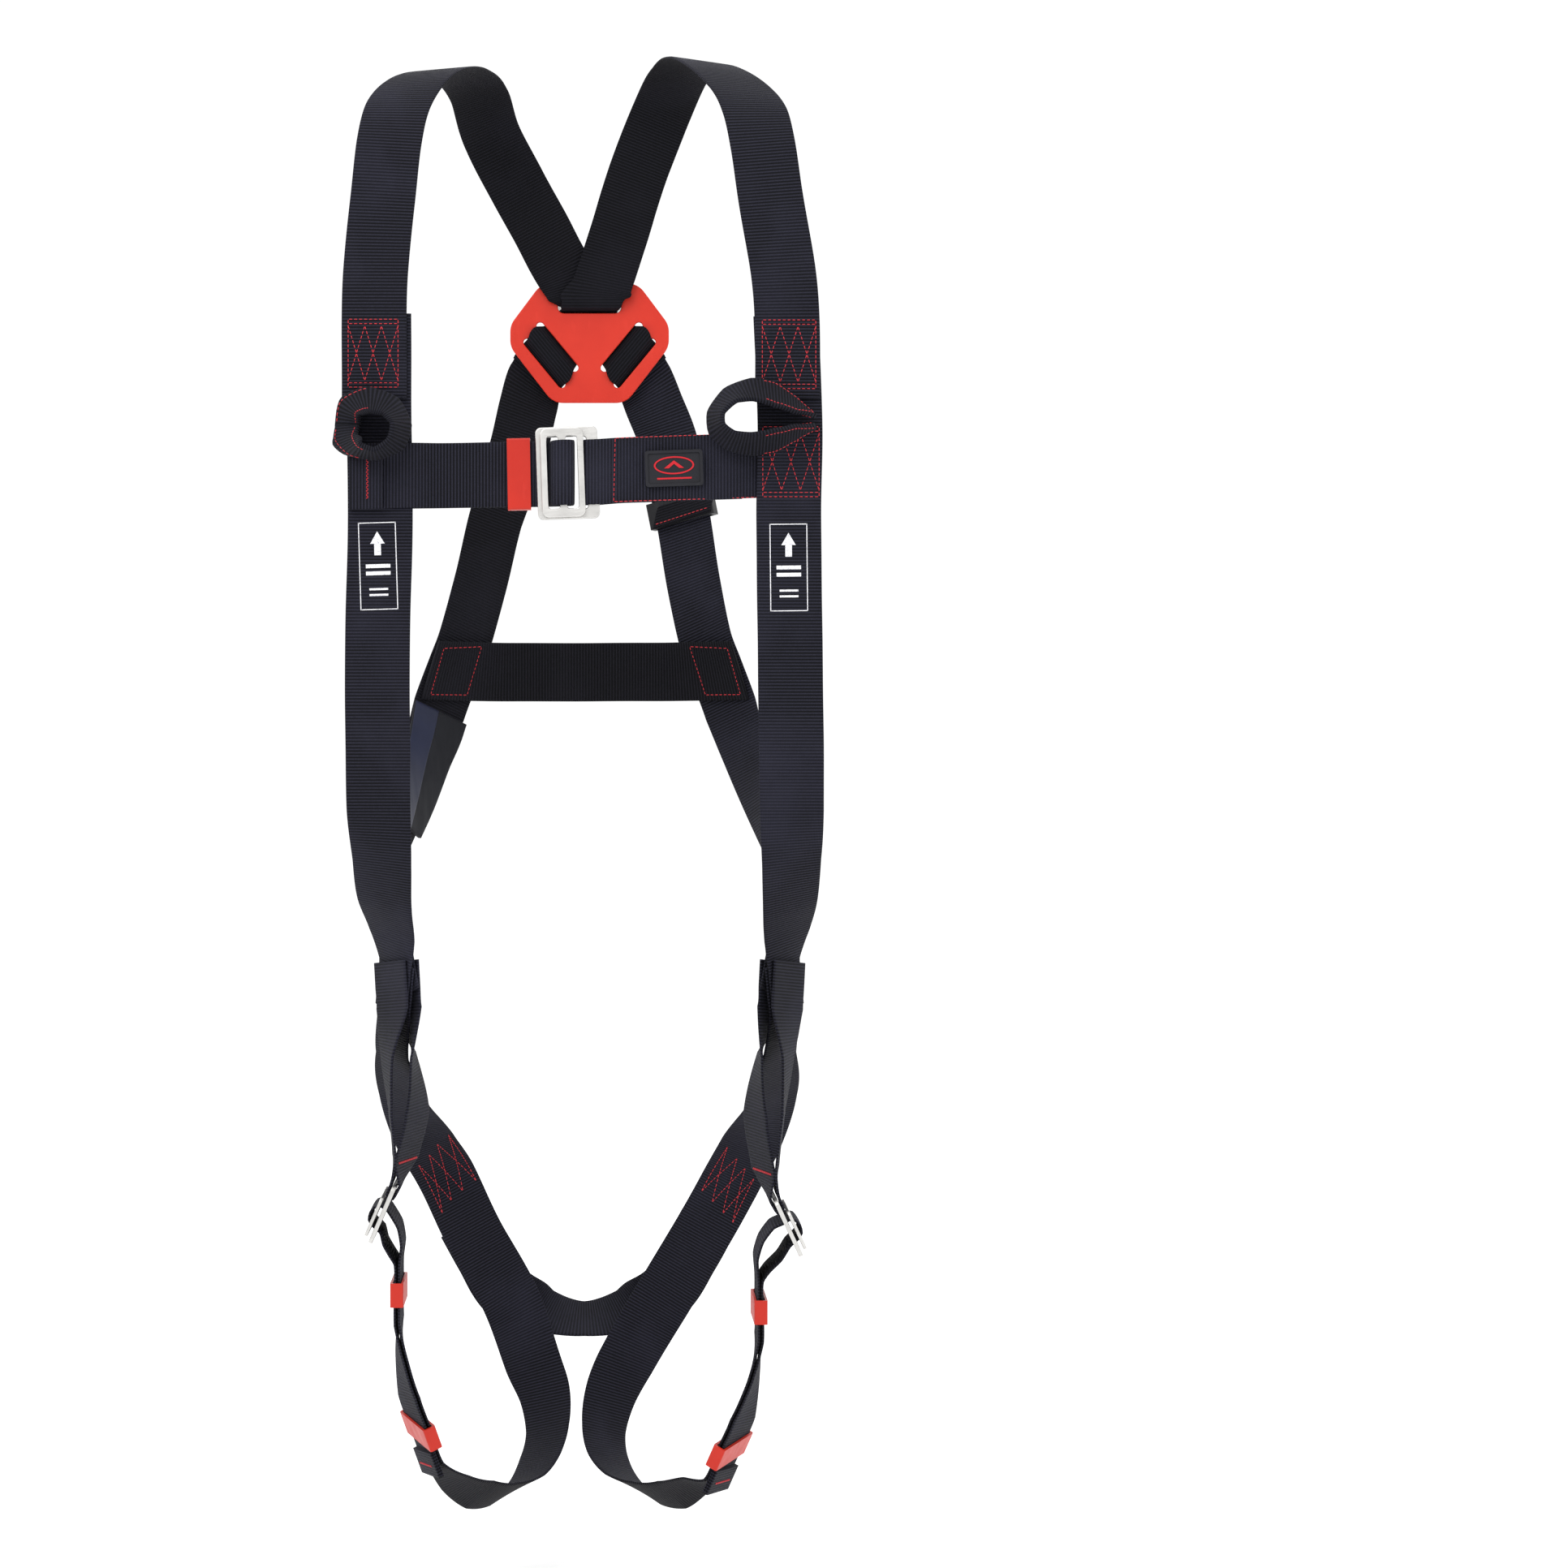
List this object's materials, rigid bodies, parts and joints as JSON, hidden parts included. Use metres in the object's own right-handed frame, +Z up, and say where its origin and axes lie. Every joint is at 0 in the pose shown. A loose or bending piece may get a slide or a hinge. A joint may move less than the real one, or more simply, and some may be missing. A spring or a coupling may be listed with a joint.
{
  "type": "safety harness",
  "caption": "Full body fall-arrest harness of woven webbing with a dorsal D-ring plate, adjustable leg and chest buckles, sliding keepers and soft chest loops.",
  "frame": {"origin": "middle of the eye of the dorsal D-ring at rest", "axes": "+Z up as worn, -Y towards the wearer's front, +X to the right as seen from the front"},
  "size_m": [0.3424, 0.3169, 1.0677],
  "materials": {
    "webbing": "woven polyester webbing, black with a navy cast",
    "pouch_fabric": "coated woven cloth",
    "orange_plastic": "moulded, satin",
    "black_plastic": "moulded, satin",
    "buckle_steel": "zinc plated pressed steel, satin",
    "ring_steel": "zinc plated forged steel",
    "patch_rubber": "soft moulded rubber, matte"
  },
  "bodies": {
    "harness": {"back_slider": "black_plastic", "back_strap_left": "webbing", "back_strap_right": "webbing", "chest_strap_left": "webbing", "chest_strap_right": "webbing", "dorsal_plate": "orange_plastic", "front_strap_left": "webbing", "front_strap_right": "webbing", "hip_loop_left": "webbing", "hip_loop_right": "webbing", "label_pouch": "pouch_fabric", "leg_strap_left": "webbing", "leg_strap_right": "webbing", "lumbar_band": "webbing", "rubber_patch": "patch_rubber", "shoulder_strap_left": "webbing", "shoulder_strap_right": "webbing", "sub_pelvic_strap": "webbing"},
    "d_ring": {"dorsal_d_ring": "ring_steel"},
    "chest_keeper": {"chest_keeper": "orange_plastic"},
    "chest_loop_left": {"chest_loop_left": "webbing"},
    "chest_loop_right": {"chest_loop_right": "webbing"},
    "chest_frame": {"chest_buckle_frame": "buckle_steel"},
    "chest_plate": {"chest_buckle_plate": "buckle_steel"},
    "leg_frame_left": {"leg_buckle_frame_left": "buckle_steel"},
    "leg_plate_left": {"leg_buckle_plate_left": "buckle_steel"},
    "leg_frame_right": {"leg_buckle_frame_right": "buckle_steel"},
    "leg_plate_right": {"leg_buckle_plate_right": "buckle_steel"},
    "leg_keeper_upper_left": {"leg_keeper_upper_left": "orange_plastic"},
    "leg_keeper_lower_left": {"leg_keeper_lower_left": "orange_plastic"},
    "leg_keeper_upper_right": {"leg_keeper_upper_right": "orange_plastic"},
    "leg_keeper_lower_right": {"leg_keeper_lower_right": "orange_plastic"}
  },
  "joints": [
    {"name": "d_ring_swing", "type": "hinge", "parent": "harness", "child": "d_ring", "pos_m": [0, -0.0246, -0.007], "axis": [1, 0, 0], "range_deg": [-70, 55]},
    {"name": "chest_keeper_slide", "type": "slide", "parent": "harness", "child": "chest_keeper", "axis": [0.9998, 0, 0.018], "range_m": [-0.04, 0.003]},
    {"name": "chest_loop_left_swing", "type": "hinge", "parent": "harness", "child": "chest_loop_left", "pos_m": [-0.177, -0.2575, -0.119], "axis": [0, 0, -1], "range_deg": [0, 30]},
    {"name": "chest_loop_right_swing", "type": "hinge", "parent": "harness", "child": "chest_loop_right", "pos_m": [0.158, -0.259, -0.1165], "axis": [0, 0, 1], "range_deg": [0, 30]},
    {"name": "leg_frame_left_tilt", "type": "hinge", "parent": "harness", "child": "leg_frame_left", "pos_m": [-0.139, -0.19, -0.65446], "axis": [0, -1, 0], "range_deg": [-1.5, 2]},
    {"name": "leg_plate_left_tilt", "type": "hinge", "parent": "leg_frame_left", "child": "leg_plate_left", "pos_m": [-0.15176, -0.19, -0.6717], "axis": [0, -1, 0], "range_deg": [0, 4]},
    {"name": "leg_frame_right_tilt", "type": "hinge", "parent": "harness", "child": "leg_frame_right", "pos_m": [0.13258, -0.19, -0.66415], "axis": [0, 1, 0], "range_deg": [-1.5, 2]},
    {"name": "leg_plate_right_tilt", "type": "hinge", "parent": "leg_frame_right", "child": "leg_plate_right", "pos_m": [0.14579, -0.19, -0.68105], "axis": [0, 1, 0], "range_deg": [0, 4]},
    {"name": "chest_frame_tilt", "type": "hinge", "parent": "harness", "child": "chest_frame", "pos_m": [0.00229, -0.25, -0.15089], "axis": [0.035, 0, -0.9994], "range_deg": [-1.2, 0]},
    {"name": "chest_plate_tilt", "type": "hinge", "parent": "chest_frame", "child": "chest_plate", "pos_m": [-0.0186, -0.2548, -0.15162], "axis": [0.035, 0, -0.9994], "range_deg": [0, 4]},
    {"name": "leg_keeper_upper_left_slide", "type": "slide", "parent": "harness", "child": "leg_keeper_upper_left", "axis": [0, 0, 1], "range_m": [-0.01, 0.006]},
    {"name": "leg_keeper_lower_left_slide", "type": "slide", "parent": "harness", "child": "leg_keeper_lower_left", "axis": [-0.3026, -0.2231, 0.9266], "range_m": [0, 0.004]},
    {"name": "leg_keeper_upper_right_slide", "type": "slide", "parent": "harness", "child": "leg_keeper_upper_right", "axis": [0, 0, 1], "range_m": [-0.01, 0.006]},
    {"name": "leg_keeper_lower_right_slide", "type": "slide", "parent": "harness", "child": "leg_keeper_lower_right", "axis": [0.3591, -0.2553, 0.8977], "range_m": [0, 0.004]}
  ]
}
